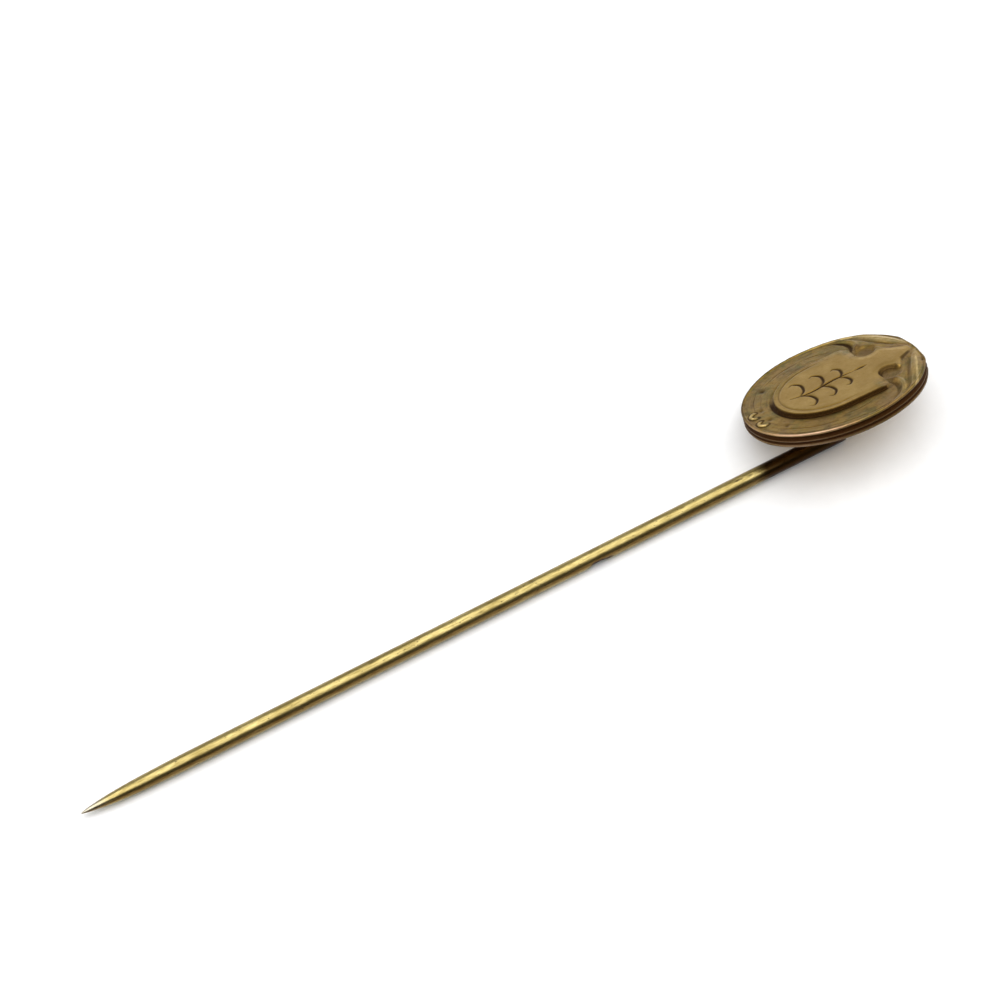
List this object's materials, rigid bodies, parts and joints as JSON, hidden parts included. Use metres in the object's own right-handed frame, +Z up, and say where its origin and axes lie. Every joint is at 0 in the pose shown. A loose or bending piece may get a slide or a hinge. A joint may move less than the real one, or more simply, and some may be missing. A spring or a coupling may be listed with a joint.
{
  "type": "stick pin",
  "caption": "Stick pin with an oval stamped shield head on a straight pointed wire, lying on a surface.",
  "frame": {"origin": "on the ground, under the middle of the lying pin's box", "axes": "+X along the stem from its point to its head, +Z up from the surface that the pin lies on"},
  "size_m": [0.0626, 0.0096, 0.0064],
  "materials": {
    "gilt_face": "worn antique gilding, dark in the recesses, rosy on the edges",
    "gilt_wire": "drawn gilt wire with a worn silvery tip"
  },
  "bodies": {
    "root": {"face_shell": "gilt_face", "back_and_stem": "gilt_wire"}
  },
  "joints": []
}
